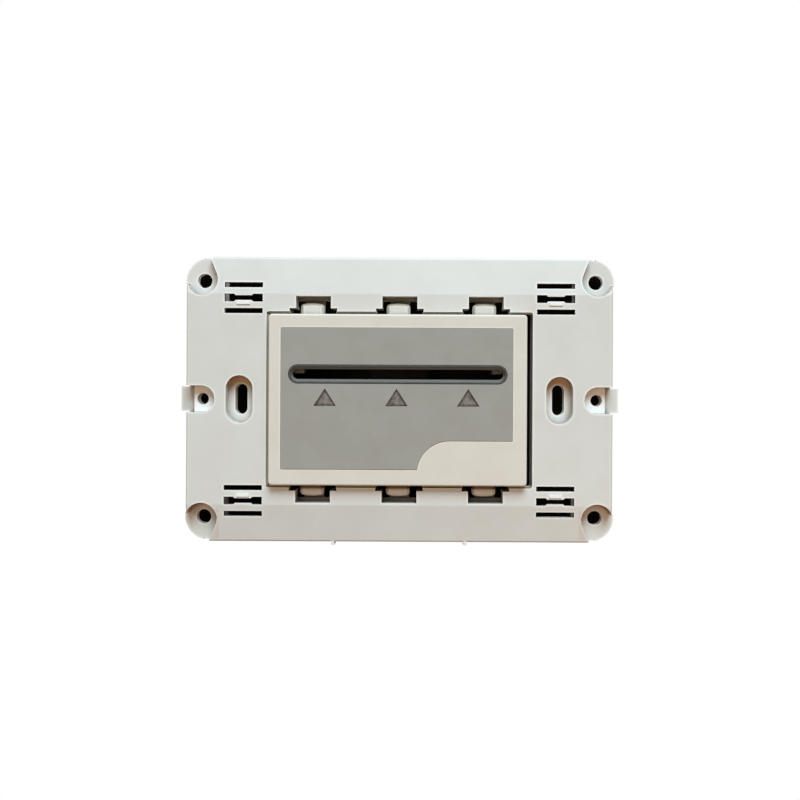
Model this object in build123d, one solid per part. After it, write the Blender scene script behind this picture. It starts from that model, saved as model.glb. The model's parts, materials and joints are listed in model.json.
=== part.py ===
from build123d import *
from math import atan2, cos, hypot, pi, radians, sin
import os

# Key card switch: a card-operated switch module in its three-module wall support frame.
# Millimetres. X runs to the right, Z up and Y into the wall. The origin is the middle of
# the frame's back, on the wall plane, so what stands in front of the wall has negative Y.

# Driving sizes
card_width = 54.0
slot_height = 2.6
cover_height = 44.3
cover_proud = 2.4
frame_depth = 7.0
frame_side = 20.93
frame_band = 14.35
module_count = 3
module_shift_x = -0.4
pivot_y = 14.0

# Clearances
overrun = 1.0
face_gap = 0.05
push_fit = 0.02
running_fit = 0.05
slide_gap = 0.2
card_side_gap = 0.3
throat_clear = 0.2
housing_side_gap = 1.0
housing_fit = 0.1
cover_side_gap = 1.25
cover_top_gap = 0.75
module_side_gap = 0.9
spring_hub_gap = 0.25
spring_lug_gap = 0.15
bar_side_gap = 0.2

# Widths from the card outwards: throat, guide, housing, cover, opening and frame
guide_wall = 1.7
housing_wall = 1.5
cover_wall = 1.6
slot_width = card_width + 2 * card_side_gap
throat_half = slot_width / 2 + throat_clear
guide_half = throat_half + guide_wall
housing_inner_half = guide_half + housing_side_gap
main_board_side_gap = 0.4
main_board_half_width = housing_inner_half - main_board_side_gap
housing_width = 2 * (housing_inner_half + housing_wall)
cover_width = housing_width + 2 * (housing_fit + cover_wall)
opening_width = cover_width + 2 * cover_side_gap
module_pitch = (opening_width - 2 * module_side_gap) / module_count
frame_width = opening_width + 2 * frame_side
housing_height = cover_height - 2 * (housing_fit + cover_wall)
opening_height = cover_height + 2 * cover_top_gap
frame_height = opening_height + 2 * frame_band


def front(y):
    """The plane at depth y that faces the viewer, with X to the right and Z up."""
    return Plane((0, y, 0), x_dir=(1, 0, 0), z_dir=(0, -1, 0))


def prism(outline, y_back, y_front):
    """A front-view outline made solid between two depths."""
    return extrude(front(y_back) * outline, amount=y_back - y_front, dir=(0, -1, 0))


def slab(x, y, z):
    """A box between two values along each axis, in either order."""
    low = Vector(min(x), min(y), min(z))
    high = Vector(max(x), max(y), max(z))
    size = high - low
    middle = (low + high) * 0.5
    return Pos(*middle) * Box(size.X, size.Y, size.Z)


def rod_x(y, z, radius, x):
    """A round bar along X between the pair x."""
    return Pos((x[0] + x[1]) / 2, y, z) * Rot(0, 90, 0) * Cylinder(radius, x[1] - x[0])


def rod_y(x, z, radius, y):
    """A round bar along Y between the pair y."""
    return Pos(x, (y[0] + y[1]) / 2, z) * Rot(90, 0, 0) * Cylinder(radius, y[1] - y[0])


def rod_z(x, y, radius, z):
    """A round bar along Z between the pair z."""
    return Pos(x, y, (z[0] + z[1]) / 2) * Cylinder(radius, z[1] - z[0])


def side_prism(points, x):
    """An outline of (y, z) points made solid along X between the pair x."""
    outline = Plane.YZ * Polygon(*points, align=None)
    return Pos(x[0], 0, 0) * extrude(outline, amount=x[1] - x[0], dir=(1, 0, 0))


def mirrored(shape, left_right=True, up_down=True):
    """The shape with its mirror images across the middle planes."""
    total = [shape]
    if left_right:
        total += [s.mirror(Plane.YZ) for s in total]
    if up_down:
        total += [s.mirror(Plane.XY) for s in total]
    return total


# Support frame
frame_corner = 6.5
frame_wall = 1.8
frame_edge_round = 0.7
strip_height = 9.75
flat_height = frame_height - 2 * strip_height
strip_drop = 1.6
rim_wall = 1.6
rib_wall = 1.2
rib_relief = 0.5
opening_corner = 0.6
strip_y = -(frame_depth - strip_drop)

corner_hole_inset_x = 3.95
corner_hole_inset_z = 6.12
corner_hole_spacing_x = frame_width - 2 * corner_hole_inset_x
corner_hole_spacing_z = frame_height - 2 * corner_hole_inset_z
corner_hole_radius = 1.9
pocket_radius = 4.1
pocket_floor = 2.6
pocket_top_inset = 5.8
foot_out = 1.0
foot_corner = 6.3
foot_drop = 0.9

lug_inset = 3.9
lug_spacing = frame_width - 2 * lug_inset
lug_hole_radius = 1.5
lug_pocket_height = 7.0
lug_pocket_end = 3.5
lug_pocket_round = 3.4
lug_boss_level = 4.2
lug_step_level = 2.4
lug_step_out = 2.3
lug_tongue_height = 6.4
lug_tongue_out = 2.2

box_slot_share = 0.339
box_slot_spacing = opening_width + 2 * box_slot_share * frame_side
box_slot_sink_width = 7.0
box_slot_sink_length = 12.4
box_slot_sink_depth = 3.6
box_slot_width = 3.2
box_slot_length = 8.0

clip_slot_margin = 1.05
clip_slot_near = opening_width / 2 + clip_slot_margin
clip_slot_length = 9.95
clip_slot_height = 1.35
clip_slot_rise = 3.53
clip_slot_z = opening_height / 2 + clip_slot_rise
clip_slot_pitch = 3.38
clip_waist_height = 1.25
clip_end_height = 2.05
clip_waist_start = 2.9
clip_waist_length = 4.2
clip_nub_width = 3.4
clip_nub_height = 0.7
clip_nub_rise = 0.3

window_width = 9.1
window_reach = 4.05
window_top = opening_height / 2 + window_reach
notch_width = 11.9
notch_lean = 0.3
notch_reach = 0.85
notch_top = opening_height / 2 + notch_reach
ledge_reach = 1.0
ledge_level = 2.8
seat_cover_gap = 0.4
seat_tip_gap = 0.5
seat_width = 5.2
seat_level = 3.6
seat_web = 0.6
seat_back = 1.6

edge_rib_x = 17.3
edge_rib_width = 0.9
edge_rib_out = 0.8
edge_rib_depth = 4.2

long_rib_z = 15.0


def frame_section(inset, back):
    """The frame's section: a flat middle with a sloping strip above and below."""
    top = frame_height / 2 - inset
    flat = flat_height / 2
    strip = strip_y + inset
    face = inset - frame_depth
    return [(back, -top), (strip, -top), (face, -flat), (face, flat), (strip, top), (back, top)]


def frame_block(inset, back):
    """The frame's outer form, drawn in by inset on every side but its back."""
    half = frame_width / 2 - inset
    section = side_prism(frame_section(inset, back), (-half, half))
    width = frame_width - 2 * inset
    height = frame_height - 2 * inset
    outline = RectangleRounded(width, height, frame_corner - inset)
    return section & prism(outline, back, -frame_depth)


def rounded_front(block, radius):
    """Round the outer rim of the faces that look forward."""
    faces = block.faces().filter_by(lambda f: f.normal_at().Y < -0.5)
    edges = ShapeList(e for f in faces for e in f.edges())
    rim = edges.filter_by(lambda e: sum(e.is_same(o) for o in edges) == 1)
    return fillet(rim, radius)


def tangent_point(point, centre, radius, side):
    """Where a line from point touches a circle, on the side given by +1 or -1."""
    away = (point[0] - centre[0], point[1] - centre[1])
    distance = hypot(*away)
    turn = side * (pi / 2 - atan2(radius, (distance**2 - radius**2) ** 0.5))
    angle = atan2(away[1], away[0]) + turn
    return (centre[0] + radius * cos(angle), centre[1] + radius * sin(angle))


def corner_pocket():
    """The open pocket round the upper right hole: a circle that widens to the corner."""
    centre = (corner_hole_spacing_x / 2, corner_hole_spacing_z / 2)
    top = (frame_width / 2 - pocket_top_inset, frame_height / 2)
    above = (top[0], top[1] + overrun)
    outside = (frame_width / 2 + overrun, above[1])
    side = (outside[0], centre[1])
    near_top = tangent_point(top, centre, pocket_radius, 1)
    corner = Polygon(centre, side, outside, above, top, near_top, align=None)
    return corner + Pos(*centre) * Circle(pocket_radius)


def corner_foot():
    """The low plate by which the upper right pocket's floor reaches past the frame's side."""
    outline = RectangleRounded(frame_width + 2 * foot_out, frame_height, foot_corner)
    near = corner_hole_spacing_x / 2
    low = corner_hole_spacing_z / 2 - foot_drop
    width = frame_width / 2 + foot_out - near
    height = frame_height / 2 - low
    quarter = Pos(near + width / 2, low + height / 2) * Rectangle(width, height)
    return prism(outline & quarter, 0, -pocket_floor)


def lug_pocket():
    """The recess round the right lug hole, open to the frame's side."""
    inner = lug_spacing / 2 - lug_pocket_end
    outer = frame_width / 2 + lug_pocket_round + overrun
    outline = RectangleRounded(outer - inner, lug_pocket_height, lug_pocket_round)
    return Pos((inner + outer) / 2, 0) * outline


def upright_slot(length, width):
    return Rot(0, 0, 90) * SlotOverall(length, width)


def window_xs():
    """The middles of the snap windows, one for each module of the opening."""
    return [(n - (module_count - 1) / 2) * module_pitch for n in range(module_count)]


def window_outline(x, grow, near):
    """A snap window above the opening, from the height near to its far end."""
    top = window_top + grow
    outline = Rectangle(window_width + 2 * grow, top - near)
    return Pos(x, (near + top) / 2) * outline


def window_notch(x):
    """The wider notch where a snap window meets the opening, with slanted ends."""
    low = opening_height / 2 - overrun
    half = notch_width / 2
    points = [(x - half, low), (x + half, low), (x + half + notch_lean, notch_top)]
    points += [(x - half - notch_lean, notch_top)]
    return Polygon(*points, align=None)


def clip_slots():
    """The three upper right clip slots: two plain ones and one with a waist between them."""
    near = clip_slot_near
    middle = near + clip_slot_length / 2
    plain = Rectangle(clip_slot_length, clip_slot_height)
    low_slot = Pos(middle, clip_slot_z - clip_slot_pitch) * plain
    high_slot = Pos(middle, clip_slot_z + clip_slot_pitch) * plain
    end = clip_end_height
    ends = Pos(middle, clip_slot_z) * Rectangle(clip_slot_length, end)
    waist_middle = near + clip_waist_start + clip_waist_length / 2
    lean = (clip_end_height - clip_waist_height) / 2
    half_top = clip_waist_length / 2
    half_low = half_top + lean
    low = clip_slot_z - end / 2
    infill = Polygon(
        (waist_middle - half_low, low),
        (waist_middle + half_low, low),
        (waist_middle + half_top, low + lean),
        (waist_middle - half_top, low + lean),
        align=None,
    )
    upper = infill.mirror(Plane.XZ)
    infill += Pos(0, 2 * clip_slot_z) * upper
    return low_slot + high_slot + (ends - infill)


def clip_nub():
    """The low nub moulded under the waist of the middle clip slot."""
    middle = clip_slot_near + clip_waist_start + clip_waist_length / 2
    z = clip_slot_z - clip_end_height / 2 - clip_nub_height / 2
    outline = Pos(middle, z) * Rectangle(clip_nub_width, clip_nub_height)
    return prism(outline, frame_wall - frame_depth, -frame_depth - clip_nub_rise)


def catch_seat(x):
    """The seat that an upper catch rests on: a pad joined by a thin web to a ledge above."""
    half = window_width / 2 + rib_wall
    high = window_top + rib_wall
    ledge = slab((x - half, x + half), (-ledge_level, -seat_back), (window_top - ledge_reach, high))
    pad_x = (x - seat_width / 2, x + seat_width / 2)
    low = cover_height / 2 + seat_cover_gap
    pad = slab(pad_x, (-seat_level, -seat_back), (low, cover_height / 2 + catch_reach - seat_tip_gap))
    return ledge + pad + slab(pad_x, (-seat_back - seat_web, -seat_back), (low, high))


def edge_rib():
    """One of the two small ribs under the lower edge."""
    low = -frame_height / 2 - edge_rib_out
    pair = (edge_rib_x - edge_rib_width / 2, edge_rib_x + edge_rib_width / 2)
    back = strip_y + edge_rib_depth
    return slab(pair, (strip_y, back), (low, low + edge_rib_out + frame_edge_round))


def frame_bosses():
    """What stays solid inside the hollow back: walls round each opening, and ribs."""
    face = -frame_depth
    reach = pocket_radius + frame_wall
    corner_x = (corner_hole_spacing_x / 2 - reach, frame_width / 2)
    corner_z = (corner_hole_spacing_z / 2 - reach, frame_height / 2)
    solid = mirrored(slab(corner_x, (face, 0), corner_z))
    lug_x = (lug_spacing / 2 - lug_pocket_end - rib_wall, frame_width / 2)
    lug_half = lug_pocket_height / 2 + rib_wall
    solid += mirrored(slab(lug_x, (face, 0), (-lug_half, lug_half)), up_down=False)
    sink = Rectangle(box_slot_sink_width + 2 * rib_wall, box_slot_sink_length + 2 * rib_wall)
    for side in (-1, 1):
        solid.append(prism(Pos(side * box_slot_spacing / 2, 0) * sink, 0, face))
    rim_w = opening_width + 2 * rim_wall
    rim_h = opening_height + 2 * rim_wall
    solid.append(prism(Rectangle(rim_w, rim_h), 0, face))
    for x in window_xs():
        walls = prism(window_outline(x, rib_wall, 0), -seat_back, face)
        solid += mirrored(walls, left_right=False)
    high = frame_height / 2
    for x in (-module_pitch / 2, module_pitch / 2):
        solid.append(slab((x - rib_wall / 2, x + rib_wall / 2), (-rib_relief, face), (-high, high)))
    wide = frame_width / 2
    for z in (-long_rib_z, long_rib_z):
        rib = slab((-wide, wide), (-rib_relief, face), (z - rib_wall / 2, z + rib_wall / 2))
        solid.append(rib)
    return solid


def make_support_frame():
    body = rounded_front(frame_block(0, 0), frame_edge_round)
    hollow = frame_block(frame_wall, overrun)
    for boss in frame_bosses():
        hollow -= boss
    body -= hollow
    for foot in mirrored(corner_foot()):
        body += foot
    front_y = -frame_depth - overrun
    cuts = [prism(RectangleRounded(opening_width, opening_height, opening_corner), overrun, front_y)]
    cuts += mirrored(prism(corner_pocket(), -pocket_floor, front_y))
    hole = Pos(corner_hole_spacing_x / 2, corner_hole_spacing_z / 2) * Circle(corner_hole_radius)
    cuts += mirrored(prism(hole, overrun, front_y))
    cuts += mirrored(prism(lug_pocket(), -lug_boss_level, front_y), up_down=False)
    step_x = lug_spacing / 2 + lug_step_out
    step_far = frame_width / 2 + overrun
    half = lug_pocket_height / 2
    step = slab((step_x, step_far), (front_y, -lug_step_level), (-half, half))
    cuts += mirrored(step, up_down=False)
    lug_hole = Pos(lug_spacing / 2, 0) * Circle(lug_hole_radius)
    cuts += mirrored(prism(lug_hole, overrun, front_y), up_down=False)
    sink = Pos(box_slot_spacing / 2, 0) * upright_slot(box_slot_sink_length, box_slot_sink_width)
    cuts += mirrored(prism(sink, box_slot_sink_depth - frame_depth, front_y), up_down=False)
    slot = Pos(box_slot_spacing / 2, 0) * upright_slot(box_slot_length, box_slot_width)
    cuts += mirrored(prism(slot, overrun, front_y), up_down=False)
    cuts += mirrored(prism(clip_slots(), frame_wall + overrun - frame_depth, front_y))
    for x in window_xs():
        cuts += mirrored(prism(window_outline(x, 0, 0), overrun, front_y), left_right=False)
        cuts += mirrored(prism(window_notch(x), overrun, front_y), left_right=False)
    for cut in cuts:
        body -= cut
    for x in window_xs():
        for seat in mirrored(catch_seat(x), left_right=False):
            body += seat
    tongue_x = (frame_width / 2 - frame_wall, frame_width / 2 + lug_tongue_out)
    tongue_half = lug_tongue_height / 2
    tongue = slab(tongue_x, (-lug_step_level, 0), (-tongue_half, tongue_half))
    for piece in mirrored(tongue, up_down=False) + mirrored(clip_nub()):
        body += piece
    for rib in mirrored(edge_rib(), up_down=False):
        body += rib
    return body


# Front cover, label plate and escutcheon. Their places are from the module's middle.
cover_front = -(frame_depth + cover_proud)
cover_plate = 2.0
cover_corner = 0.9
cover_edge_round = 0.5
skirt_end = 2.0
plate_back = cover_front + cover_plate

label_left_margin = 3.2
label_right_margin = 3.7
label_top_margin = 3.55
label_bottom_margin = 4.25
label_left = cover_width / 2 - label_left_margin
label_right = cover_width / 2 - label_right_margin
label_top = cover_height / 2 - label_top_margin
label_bottom = cover_height / 2 - label_bottom_margin
label_corner = 0.3
label_thickness = 0.8
label_rise = 0.15
label_gap = 0.05
label_front = cover_front - label_rise
notch_arc_inset = 16.2
notch_arc_drop = 1.05
notch_arc_x = label_right - notch_arc_inset
notch_arc_z = -label_bottom - notch_arc_drop
notch_arc_radius = 8.5

slot_drop = 12.0
slot_z = label_top - slot_drop
ring_side = 0.85
ring_band = 1.03
ring_width = slot_width + 2 * ring_side
ring_height = slot_height + 2 * ring_band
ring_groove = 0.15
ring_sink = 0.1
ring_bevel_depth = 1.3
ring_lip = 0.35
ring_flange = 0.7
ring_flange_thickness = 0.8
ring_back = plate_back + ring_flange_thickness

arrow_pitch_share = 0.339
arrow_pitch = arrow_pitch_share * slot_width
arrow_shift = -0.3
arrow_drop = 3.7
arrow_apex_z = slot_z - arrow_drop
arrow_width = 5.8
arrow_height = 4.5
lens_gap = 0.06
lens_sink = 0.3
lens_flange = 0.8
lens_flange_thickness = 0.5

catch_width = 6.2
catch_reach = 3.1
catch_thickness = 1.8
catch_arch_radius = 12.0
catch_corner = 0.9
catch_bevel = 0.8
barb_width = 5.0
barb_height = 0.75
barb_length = 2.3

hook_x = 20.0
hook_width = 8.0
hook_thickness = 1.2
hook_end = 9.0
hook_window_width = 5.0
hook_window_length = 2.4
hook_window_start = 5.6


def grown_rectangle(left, right, bottom, top, grow, corner):
    width = left + right + 2 * grow
    height = top + bottom + 2 * grow
    return Pos((right - left) / 2, (top - bottom) / 2) * RectangleRounded(width, height, corner)


def label_outline(grow):
    """The label with its lower right part cut away along a quarter round."""
    outline = grown_rectangle(label_left, label_right, label_bottom, label_top, grow, label_corner + grow)
    radius = notch_arc_radius - grow
    low = -label_bottom - grow - overrun
    top = notch_arc_z + radius
    right = label_right + overrun
    corner = Pos((notch_arc_x + right) / 2, (low + top) / 2) * Rectangle(right - notch_arc_x, top - low)
    return outline - corner - Pos(notch_arc_x, notch_arc_z) * Circle(radius)


def stadium(width, height, grow=0):
    return Pos(0, slot_z) * SlotOverall(width + 2 * grow, height + 2 * grow)


def arrow_xs():
    return [arrow_shift + n * arrow_pitch for n in (-1, 0, 1)]


def arrow_outline(x, grow):
    """An upward triangle with every side moved out by grow."""
    half = arrow_width / 2
    slant = hypot(half, arrow_height)
    rise = grow * slant / half
    spread = grow * (slant + half) / arrow_height
    base = arrow_apex_z - arrow_height - grow
    points = [(x - half - spread, base), (x + half + spread, base), (x, arrow_apex_z + rise)]
    return Polygon(*points, align=None)


def cover_catch(x):
    """One upper catch, with an arched and bevelled end, that rests on the frame's seat."""
    near = cover_height / 2 - cover_wall / 2
    far = cover_height / 2 + catch_reach
    outline = Pos(0, (near + far) / 2) * Rectangle(catch_width, far - near)
    outline = outline & Pos(0, far - catch_arch_radius) * Circle(catch_arch_radius)
    shoulders = outline.vertices().sort_by(Axis.Y)[-2:]
    outline = fillet(shoulders, catch_corner)
    block = prism(Pos(x, 0) * outline, -seat_level, -seat_level - catch_thickness)
    tip = block.faces().sort_by(Axis.Y)[0].edges().filter_by(lambda e: e.center().Z > far - catch_corner)
    return chamfer(tip, catch_bevel)


def cover_barb(x):
    """One upper barb, behind the seat, that holds the module in."""
    skirt = cover_height / 2
    start = face_gap - seat_back
    points = [(start, skirt - cover_wall / 2), (start, skirt + barb_height)]
    points += [(start + barb_length, skirt), (start + barb_length, skirt - cover_wall / 2)]
    return side_prism(points, (x - barb_width / 2, x + barb_width / 2))


def cover_hook():
    """The upper right hook of the skirt, with a window for the housing's ramp."""
    low = cover_height / 2 - cover_wall
    start = skirt_end - cover_wall
    arm = slab(
        (hook_x - hook_width / 2, hook_x + hook_width / 2),
        (start, hook_end),
        (low, low + hook_thickness),
    )
    window_y = (hook_window_start, hook_window_start + hook_window_length)
    half = hook_window_width / 2
    through = (low - overrun, low + hook_thickness + overrun)
    return arm - slab((hook_x - half, hook_x + half), window_y, through)


def make_front_cover():
    outline = RectangleRounded(cover_width, cover_height, cover_corner)
    body = rounded_front(prism(outline, skirt_end, cover_front), cover_edge_round)
    inner_w = cover_width - 2 * cover_wall
    inner_h = cover_height - 2 * cover_wall
    body -= prism(Rectangle(inner_w, inner_h), skirt_end + overrun, plate_back)
    pocket_y = label_front + label_thickness
    body -= prism(label_outline(label_gap), pocket_y, cover_front - overrun)
    ring_hole = stadium(ring_width, ring_height, ring_groove)
    body -= prism(ring_hole, plate_back + overrun, cover_front - overrun)
    for x in arrow_xs():
        body -= prism(arrow_outline(x, 0), plate_back + overrun, cover_front - overrun)
    for x in window_xs():
        catch = cover_catch(x)
        barb = cover_barb(x)
        for piece in mirrored(catch, left_right=False) + mirrored(barb, left_right=False):
            body += piece
    for hook in mirrored(cover_hook()):
        body += hook
    return body


def make_label_plate():
    plate = prism(label_outline(0), label_front + label_thickness, label_front)
    plate -= prism(stadium(ring_width, ring_height, ring_groove), 0, label_front - overrun)
    for x in arrow_xs():
        plate -= prism(arrow_outline(x, 0), 0, label_front - overrun)
    return plate


def make_slot_escutcheon():
    """The ring round the card slot, bevelled towards it, with a flange behind the cover."""
    front_y = label_front + ring_sink
    ring = prism(stadium(ring_width, ring_height), ring_back, front_y)
    ring += prism(stadium(ring_width, ring_height, ring_flange), ring_back, plate_back)
    wide = front(front_y) * stadium(ring_width - 2 * ring_lip, ring_height - 2 * ring_lip)
    narrow = front(front_y + ring_bevel_depth) * stadium(slot_width, slot_height)
    ring -= loft([wide.face(), narrow.face()])
    ring -= prism(stadium(slot_width, slot_height), ring_back + overrun, front_y)
    return ring


def make_arrow_lens(x):
    """One smoked window, with a flange behind the cover plate."""
    pane = prism(arrow_outline(x, -lens_gap), plate_back, label_front + lens_sink)
    top = slot_z - ring_height / 2 - ring_flange - slide_gap
    above = Pos(x, top + arrow_height / 2) * Rectangle(2 * arrow_width, arrow_height)
    flange = arrow_outline(x, lens_flange) - above
    return pane + prism(flange, plate_back + lens_flange_thickness, plate_back)


# Card guides: the black throat behind the slot
throat_low = slot_z - slot_height / 2
throat_high = slot_z + slot_height / 2
guide_plate = 1.4
guide_front = ring_back + slide_gap
guide_stop = 1.2

rib_inset = 1.75
rib_width = 2.6
rib_height = 1.1
rib_length = 9.0
rib_x = throat_half - rib_inset

bracket_width = 5.8
bracket_wall = 1.2
bracket_drop = 5.2


# Card lever: a flap that the card swings back, on a cross pin above the throat
pivot_rise = 3.75
pivot_z = throat_high + guide_plate + pivot_rise
pin_radius = 1.0
hub_radius = 2.3
hub_side_gap = 0.3
ear_radius = 2.4
ear_thickness = 2.0
cam_inset = 15.8
cam_offset = 6.0
cam_x = main_board_half_width - cam_inset
flap_half = cam_x - cam_offset
flap_side_gap = 0.6
flap_thickness = 1.6
flap_overlap = 0.6
flap_length = pivot_z - throat_low + flap_overlap
flap_swing = 42.0
cam_width = 2.8
cam_base_radius = 3.3
cam_lift = 0.9
cam_points = 7
cam_margin = 14.0
ear_left_offset = 4.5
ear_right_offset = 4.5
ear_left = -(flap_half + ear_left_offset)
ear_right = cam_x + ear_right_offset
spring_coil_radius = 2.1
spring_wire_radius = 0.2
spring_wire_sides = 6
spring_offset = 0.75
spring_start_x = flap_half + spring_offset
spring_pitch = 0.7
spring_half_turns = 5
spring_seat_gap = 0.1
hub_neck_radius = spring_coil_radius - spring_wire_radius - spring_hub_gap
catch_lug_length = 1.3
catch_lug_height = 1.1
catch_lug_top = pivot_z - spring_coil_radius - spring_wire_radius - spring_lug_gap

# Depths behind the lever: the microswitch plunger touches the cam, and the board carries both
cam_gap = 0.15
plunger_out = cam_lift + cam_gap
switch_depth = 6.5
plunger_tip = pivot_y + cam_base_radius + cam_gap
switch_front = plunger_tip + plunger_out
main_board_front = switch_front + switch_depth
guide_end = main_board_front - slide_gap


def nose_window(reach):
    """The front-to-back span that the flap needs at a given depth below its pivot."""
    return (pivot_y - flap_thickness - slide_gap, pivot_y + reach)


def make_card_guide_lower():
    low = throat_low - guide_plate
    floor = slab((-guide_half, guide_half), (guide_front, guide_end), (low, throat_low))
    for side in (-1, 1):
        pair = sorted((side * throat_half, side * guide_half))
        floor += slab(pair, (guide_front, guide_end), (low, throat_high))
        near = sorted((side * (guide_half - bracket_width), side * guide_half))
        back = led_board_back + face_gap
        board_gap = (led_board_front - face_gap, back)
        grip_y = (board_gap[0] - bracket_wall, back + bracket_wall)
        grip = slab(near, grip_y, (low - bracket_drop, low))
        floor += grip - slab(near, board_gap, (low - bracket_drop - overrun, led_board_top + face_gap))
    stop = (guide_end - guide_stop, guide_end)
    floor += slab((-throat_half, throat_half), stop, (low, throat_high))
    reach = flap_length * sin(radians(flap_swing)) / 2 + flap_thickness
    half = flap_half + flap_side_gap
    window = slab((-half, half), nose_window(reach), (low - overrun, throat_high))
    return floor - window


def make_card_guide_upper():
    top = throat_high + guide_plate
    plate = slab((-guide_half, guide_half), (guide_front, guide_end), (throat_high, top))
    reach = flap_length * sin(radians(flap_swing)) + flap_thickness
    half = flap_half + flap_side_gap
    plate -= slab((-half, half), nose_window(reach), (throat_high - overrun, top + overrun))
    for left in (ear_left, ear_right):
        pair = (left, left + ear_thickness)
        foot = slab(pair, (pivot_y - ear_radius, pivot_y + ear_radius), (top, pivot_z))
        ear = foot + rod_x(pivot_y, pivot_z, ear_radius, pair)
        plate += ear - rod_x(pivot_y, pivot_z, pin_radius + push_fit, (left - overrun, pair[1] + overrun))
    return plate


def make_guide_ribs():
    """Two small ribs under the upper guide that keep the card flat at its edges."""
    ribs = []
    for side in (-1, 1):
        middle = side * rib_x
        pair = (middle - rib_width / 2, middle + rib_width / 2)
        depth = (guide_front, guide_front + rib_length)
        ribs.append(slab(pair, depth, (throat_high - rib_height, throat_high)))
    return Compound(ribs)


def cam_radius(turn):
    """The cam's radius at a lever angle in degrees: it grows evenly over the swing."""
    return cam_base_radius + cam_lift * turn / flap_swing


def cam_sector():
    """The spiral lobe that pushes the plunger, as a disc sector on the hub."""
    first = -cam_margin / 2
    last = flap_swing + cam_margin
    step = (last - first) / (cam_points - 1)
    points = []
    for n in range(cam_points):
        turn = first + n * step
        radius = cam_radius(turn)
        angle = -radians(turn)
        points.append((pivot_y + radius * cos(angle), pivot_z + radius * sin(angle)))
    centre = (pivot_y, pivot_z)
    edge = Spline(*points) + Polyline(points[-1], centre, points[0])
    outline = Plane.YZ * make_face(edge)
    return Pos(cam_x - cam_width / 2, 0, 0) * extrude(outline, amount=cam_width, dir=(1, 0, 0))


def make_card_lever():
    hub_left = ear_left + ear_thickness + hub_side_gap
    hub_right = ear_right - hub_side_gap
    lever = rod_x(pivot_y, pivot_z, hub_radius, (hub_left, hub_right))
    neck = (flap_half + slide_gap, cam_x - cam_width / 2 - slide_gap)
    lever -= rod_x(pivot_y, pivot_z, hub_radius + overrun, neck)
    lever += rod_x(pivot_y, pivot_z, hub_neck_radius, (neck[0] - overrun, neck[1] + overrun))
    tip_radius = flap_thickness / 2
    tip_z = pivot_z - flap_length + tip_radius
    half = flap_thickness / 2
    lever += slab((-flap_half, flap_half), (pivot_y - half, pivot_y + half), (tip_z, pivot_z))
    lever += rod_x(pivot_y, tip_z, tip_radius, (-flap_half, flap_half))
    lever += cam_sector()
    lug_back = pivot_y + spring_coil_radius - spring_wire_radius - spring_seat_gap
    lever += slab(
        (flap_half - flap_thickness, flap_half + catch_lug_length),
        (pivot_y, lug_back),
        (catch_lug_top - catch_lug_height, catch_lug_top),
    )
    bore = (hub_left - overrun, hub_right + overrun)
    return lever - rod_x(pivot_y, pivot_z, pin_radius + running_fit, bore)


def make_lever_pin():
    return rod_x(pivot_y, pivot_z, pin_radius, (ear_left, ear_right + ear_thickness))


def make_lever_spring():
    """A torsion spring on the hub: one leg behind the flap, the other on the upper guide.

    Each half turn is a half circle that leans along the hub, so all meet without a kink.
    """
    leg_end = throat_high + guide_plate + slide_gap
    step = spring_pitch / 2
    rise = hypot(spring_coil_radius, step / 2)
    x = spring_start_x
    y = pivot_y + spring_coil_radius
    path = [Line((x, y, leg_end), (x, y, pivot_z))]
    for n in range(spring_half_turns):
        side = (-1) ** n
        start = (x + n * step, pivot_y + side * spring_coil_radius, pivot_z)
        middle = (x + (n + 0.5) * step, pivot_y, pivot_z + side * rise)
        end = (x + (n + 1) * step, pivot_y - side * spring_coil_radius, pivot_z)
        path.append(ThreePointArc(start, middle, end))
    path.append(Line(end, (end[0], end[1], leg_end)))
    wire = RegularPolygon(spring_wire_radius, spring_wire_sides)
    return sweep(sections=Plane((x, y, leg_end), z_dir=(0, 0, 1)) * wire, path=Wire(path))


# Boards, with the pins that pass through them
led_height = 4.7
led_tip_gap = 0.3
led_tip = plate_back + lens_flange_thickness + led_tip_gap
led_board_front = led_tip + led_height
led_board_thickness = 1.6
led_board_back = led_board_front + led_board_thickness
led_board_side = 3.2
led_board_half = guide_half - led_board_side
led_board_gap = 0.75
led_board_foot = 3.15
led_board_top = throat_low - guide_plate - led_board_gap
main_board_thickness = 1.6
main_board_back = main_board_front + main_board_thickness
main_board_top_gap = 0.35
main_board_half_height = housing_height / 2 - housing_wall - main_board_top_gap
pin_size = 0.64
pin_gap = 0.08
pin_tail = 1.2
link_pitch = 2.54
link_count = 4
link_half = (link_count - 1) / 2 * link_pitch + pin_size / 2
led_drop = 2.55
led_z = arrow_apex_z - led_drop
led_lead_offset = 1.27
led_radius = 1.5
led_rim_radius = 1.9
led_rim_thickness = 0.8
led_bevel = 0.5


def square_pin(x, z, y, grow=0):
    half = pin_size / 2 + grow
    return slab((x - half, x + half), y, (z - half, z + half))


def link_places():
    return [((n - (link_count - 1) / 2) * link_pitch, link_z) for n in range(link_count)]


def led_lead_places():
    return [(x + side * led_lead_offset, led_z) for x in arrow_xs() for side in (-1, 1)]


def make_link_pins():
    span = (led_board_front - pin_tail, main_board_back + pin_tail)
    return Compound([square_pin(x, z, span) for x, z in link_places()])


def make_led_leads():
    span = (led_board_front, led_board_back + pin_tail)
    return Compound([square_pin(x, z, span) for x, z in led_lead_places()])


def make_led(x):
    """A round lamp that stands on the board and looks forward."""
    rim = rod_y(x, led_z, led_rim_radius, (led_board_front - led_rim_thickness, led_board_front))
    barrel = rod_y(x, led_z, led_radius, (led_tip, led_board_front))
    tip = barrel.faces().sort_by(Axis.Y)[0].edges()
    return rim + chamfer(tip, led_bevel)


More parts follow.
